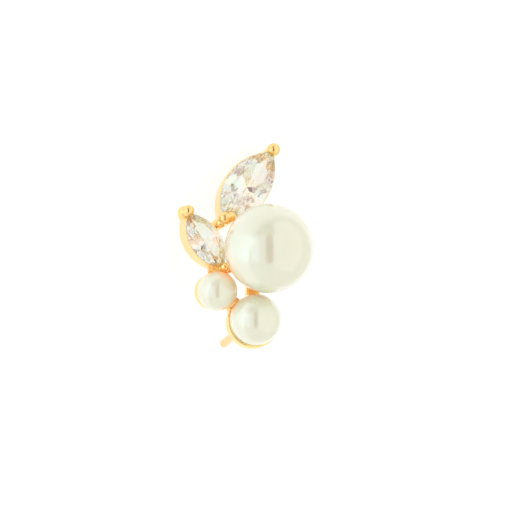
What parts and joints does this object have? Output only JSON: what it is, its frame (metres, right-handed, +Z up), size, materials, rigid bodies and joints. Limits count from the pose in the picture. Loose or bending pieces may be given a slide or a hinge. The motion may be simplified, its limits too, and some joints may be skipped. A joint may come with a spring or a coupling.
{
  "type": "pearl earring",
  "caption": "Stud earring with round pearls and marquise-cut clear stones in a soldered gold-coloured setting, lying on its ear post.",
  "frame": {"origin": "on the surface that the earring lies on, under the middle of its extent", "axes": "+Z up as it lies, +Y the way the ear post slopes down to its tip, +X to the side of the smaller pearls; the back plane of the setting faces down and towards +Y"},
  "size_m": [0.0148, 0.017, 0.0123],
  "materials": {
    "gold": "polished",
    "pearl": "gloss",
    "crystal": "polished"
  },
  "bodies": {
    "root": {"setting": "gold", "large_pearl": "pearl", "medium_pearl": "pearl", "small_pearl": "pearl", "large_stone": "crystal", "small_stone": "crystal"}
  },
  "joints": []
}
